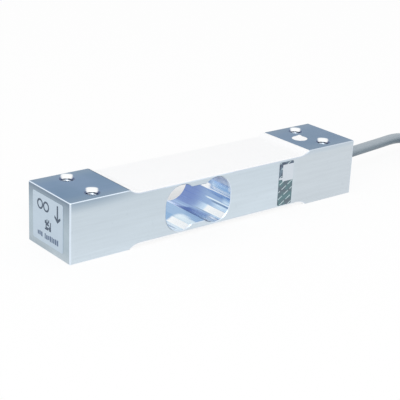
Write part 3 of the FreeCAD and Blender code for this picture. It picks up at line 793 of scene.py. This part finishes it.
def tie_details(name):
    low, high = [[c / MM for c in corner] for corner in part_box(name)]
    middle_x, middle_y = (low[0] + high[0]) / 2, (low[1] + high[1]) / 2
    half_width = 1.3
    teeth, first_tooth, tooth_pitch, tooth_height, tooth_sunk, tooth_rise = 7, 3.4, 0.75, 0.35, 0.1, 0.12
    tail_steps, tail_start, tail_length, tail_below, tail_sag, half_tail = 12, 1.9, 8.0, 1.2, 1.6, 0.35
    x0, x1 = middle_x - half_width, middle_x + half_width
    vertices = []
    faces = []

    def add_box(y0, y1, z0, z1):
        base = len(vertices)
        vertices.extend([(x, y, z) for z in (z0, z1) for x, y in ((x0, y0), (x1, y0), (x1, y1), (x0, y1))])
        for face in ((0, 1, 2, 3), (4, 5, 6, 7), (0, 1, 5, 4), (1, 2, 6, 5), (2, 3, 7, 6), (3, 0, 4, 7)):
            faces.append([base + i for i in face])

    for side in (-1, 1):
        edge = low[1] if side < 0 else high[1]
        for i in range(teeth):
            z = first_tooth + i * tooth_pitch
            y0, y1 = sorted((edge - side * tooth_sunk, edge + side * tooth_rise))
            add_box(y0, y1, z, z + tooth_height)
    inward = 1 if middle_y < HANK_Y else -1
    base = len(vertices)
    for i in range(tail_steps + 1):
        share = i / tail_steps
        y = middle_y + inward * (tail_start + tail_length * share)
        z = high[2] - tail_below - tail_sag * share * share
        vertices.extend([(x0, y, z - half_tail), (x1, y, z - half_tail),
                         (x1, y, z + half_tail), (x0, y, z + half_tail)])
    for i in range(tail_steps):
        a, b = base + 4 * i, base + 4 * (i + 1)
        for k in range(4):
            j = (k + 1) % 4
            faces.append([a + k, a + j, b + j, b + k])
    faces.append([base + k for k in range(4)])
    faces.append([base + 4 * tail_steps + k for k in range(4)])
    return mesh_piece(f"{name}_teeth", vertices, faces, nylon)


# Cable: one spline along the route's points and the hank's turns, millimetres

CABLE_DIAMETER = 5.0
CABLE_EXIT = (75.0, 0.0, 12.5)

# The hank: where its straight runs start, their length, its middle line, the heights of its two layers, then
# the radius and the height of each turn
HANK_X = 157.0
HANK_RUN = 64.0
HANK_Y = -10.5
TURN_HIGH = 8.35
TURN_LOW = 3.3
TURNS = ((20.0, TURN_HIGH), (15.0, TURN_HIGH), (15.0, TURN_LOW), (20.0, TURN_LOW))
BEND_STEPS = 8
RUN_STEPS = 4

# After this turn the cable goes down to the lower layer, in a bend moved aside by this much
DESCENT_TURN = 1
DESCENT_ROOM = 2.8

# The route to the hank and the last bit after it
CABLE_STRAIGHT = [
    CABLE_EXIT,
    (87.5, 0.0, 12.5),
    (102.5, 2.5, 12.15),
    (116.0, 5.6, 11.3),
    (131.0, 9.5, 10.3),
    (141.5, 9.5, 8.35),
]
CABLE_LAST = [(141.5, -30.5, TURN_LOW), (132.0, -30.5, TURN_LOW)]


def smooth_step(value):
    t = min(1.0, max(0.0, value))
    return t * t * (3 - 2 * t)


def run_points(radius, height, side):
    """One straight run of a turn: along +X on the far side, back on the near one."""
    y = HANK_Y + side * radius
    spots = [HANK_RUN * (step + 0.5) / RUN_STEPS for step in range(RUN_STEPS)]
    return [(HANK_X + (x if side > 0 else HANK_RUN - x), y, height) for x in spots]


def bend_points(middle_x, start, end, height_start, height_end, first_angle):
    """Half a turn clockwise, its radius and height moving over from one turn's to the next one's."""
    points = []
    for step in range(BEND_STEPS):
        share = (step + 0.5) / BEND_STEPS
        moved = smooth_step(share)
        radius = (start + (end - start) * moved) / math.cos(math.pi / 2 / BEND_STEPS)
        height = height_start + (height_end - height_start) * moved
        angle = math.radians(first_angle - 180 * share)
        points.append((middle_x + radius * math.cos(angle), HANK_Y + radius * math.sin(angle), height))
    return points


def cable_points():
    points = list(CABLE_STRAIGHT)
    for turn, (radius, height) in enumerate(TURNS):
        points += run_points(radius, height, 1)
        points += bend_points(HANK_X + HANK_RUN, radius, radius, height, height, 90)
        points += run_points(radius, height, -1)
        if turn + 1 < len(TURNS):
            next_radius, next_height = TURNS[turn + 1]
            room = DESCENT_ROOM if turn == DESCENT_TURN else 0.0
            points += bend_points(HANK_X + room, radius, next_radius, height, next_height, -90)
    return points + CABLE_LAST


def spline_curve(name, points, radius):
    data = bpy.data.curves.new(name, "CURVE")
    data.dimensions = "3D"
    data.resolution_u = 8
    data.bevel_depth = radius * MM
    data.bevel_resolution = 6
    data.use_fill_caps = True
    spline = data.splines.new("NURBS")
    spline.points.add(len(points) - 1)
    for point, (px, py, pz) in zip(spline.points, points):
        point.co = (px * MM, py * MM, pz * MM, 1)
    spline.order_u = 3
    spline.use_endpoint_u = True
    made = bpy.data.objects.new(name, data)
    bpy.context.scene.collection.objects.link(made)
    return made


cable = spline_curve("signal_cable", cable_points(), CABLE_DIAMETER / 2)
cable.data.materials.append(jacket)
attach(cable, "root")
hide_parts("cable_lead", "cable_hank", "cable_end")


tie_teeth = [tie_details(name) for name in ("hank_tie_near", "hank_tie_far")]


# Camera

def camera_axes():
    azimuth, elevation, roll = (math.radians(a) for a in (CAMERA_AZIMUTH, CAMERA_ELEVATION, CAMERA_ROLL))
    back = Vector((math.sin(azimuth) * math.cos(elevation), -math.cos(azimuth) * math.cos(elevation),
                   math.sin(elevation)))
    right = Vector((0, 0, 1)).cross(back).normalized()
    up = back.cross(right)
    rolled_right = right * math.cos(roll) + up * math.sin(roll)
    rolled_up = up * math.cos(roll) - right * math.sin(roll)
    return rolled_right, rolled_up, back


def make_camera():
    right, up, back = camera_axes()
    data = bpy.data.cameras.new("camera")
    data.sensor_fit = "HORIZONTAL"
    data.sensor_width = SENSOR_MM
    data.lens = CAMERA_FOCAL_PX / PICTURE_PX * SENSOR_MM
    data.clip_start = 0.01
    made = bpy.data.objects.new("camera", data)
    place = CAMERA_TARGET + right * CAMERA_OFFSET.x + up * CAMERA_OFFSET.y + back * CAMERA_OFFSET.z
    turn = Matrix((right, up, back)).transposed().to_4x4()
    made.matrix_world = Matrix.Translation(place) @ turn
    bpy.context.scene.collection.objects.link(made)
    bpy.context.scene.camera = made


make_camera()


# Studio

SKY_LIGHT = 0.78
FLOOR_LEVEL = -0.00005
FLOOR_HALF = 3.0

# Share of the floor's shading that the camera sees: everywhere, and what is added close behind the object
FLOOR_SHADE = 0.12
FLOOR_SHADE_BEHIND = 0.70


def floor_material():
    """Nearly white to the camera and in reflections; the object's shadow shows most close behind it."""
    s = Shader("floor")
    s.tree.nodes.remove(s.principled)
    x, y, _ = s.split(s.place)
    behind = s.every(s.band(x, -0.05, 0.05, 0.02), s.band(y, 0.012, 0.050, 0.010))
    path = s.node("ShaderNodeLightPath").outputs
    share = s.math("ADD", FLOOR_SHADE, s.every(behind, path["Is Camera Ray"], FLOOR_SHADE_BEHIND))
    seen = s.either(s.either(path["Is Camera Ray"], path["Is Glossy Ray"]), path["Is Transmission Ray"])
    shown = s.math("MULTIPLY", seen, s.math("SUBTRACT", 1.0, share))
    plain = s.node("ShaderNodeBsdfDiffuse", {"Color": (1, 1, 1, 1)}).outputs[0]
    white = s.node("ShaderNodeEmission").outputs[0]
    mixed = s.node("ShaderNodeMixShader", {0: shown, 1: plain, 2: white}).outputs[0]
    s.tree.links.new(mixed, s.tree.nodes["Material Output"].inputs["Surface"])
    return s.material


def make_floor():
    mesh = bpy.data.meshes.new("floor")
    sides = ((-1, -1), (1, -1), (1, 1), (-1, 1))
    corners = [(x * FLOOR_HALF, y * FLOOR_HALF, FLOOR_LEVEL) for x, y in sides]
    mesh.from_pydata(corners, [], [(0, 1, 2, 3)])
    made = bpy.data.objects.new("floor", mesh)
    made.data.materials.append(floor_material())
    bpy.context.scene.collection.objects.link(made)


def make_world():
    """White to the camera and in reflections, a little softer as light."""
    world = bpy.data.worlds.new("studio")
    bpy.context.scene.world = world
    world.use_nodes = True
    tree = world.node_tree
    background = tree.nodes["Background"]
    background.inputs["Color"].default_value = (1, 1, 1, 1)
    path = tree.nodes.new("ShaderNodeLightPath")
    seen = path.outputs["Is Camera Ray"]
    for output in ("Is Glossy Ray", "Is Transmission Ray"):
        both = tree.nodes.new("ShaderNodeMath")
        both.operation = "MAXIMUM"
        tree.links.new(seen, both.inputs[0])
        tree.links.new(path.outputs[output], both.inputs[1])
        seen = both.outputs[0]
    strength = tree.nodes.new("ShaderNodeMapRange")
    strength.inputs["To Min"].default_value = SKY_LIGHT
    tree.links.new(seen, strength.inputs["Value"])
    tree.links.new(strength.outputs[0], background.inputs["Strength"])


def make_lamp(name, place, target, size, power):
    data = bpy.data.lights.new(name, "AREA")
    data.shape = "DISK"
    data.size = size
    data.energy = power
    made = bpy.data.objects.new(name, data)
    made.location = place
    made.rotation_euler = (Vector(target) - Vector(place)).to_track_quat("-Z", "Y").to_euler()
    bpy.context.scene.collection.objects.link(made)


make_floor()
make_world()
make_lamp("key", (-0.5, -0.7, 0.9), (0, 0, 0), 0.6, 4.0)
bpy.context.scene.view_settings.view_transform = "Standard"


on_cable = ["cable_end_sleeve", "hank_tie_near", "hank_tie_far"]
on_cable += [n for n in nodes if n.startswith("free_wire_")] + strand_bundles + tie_teeth
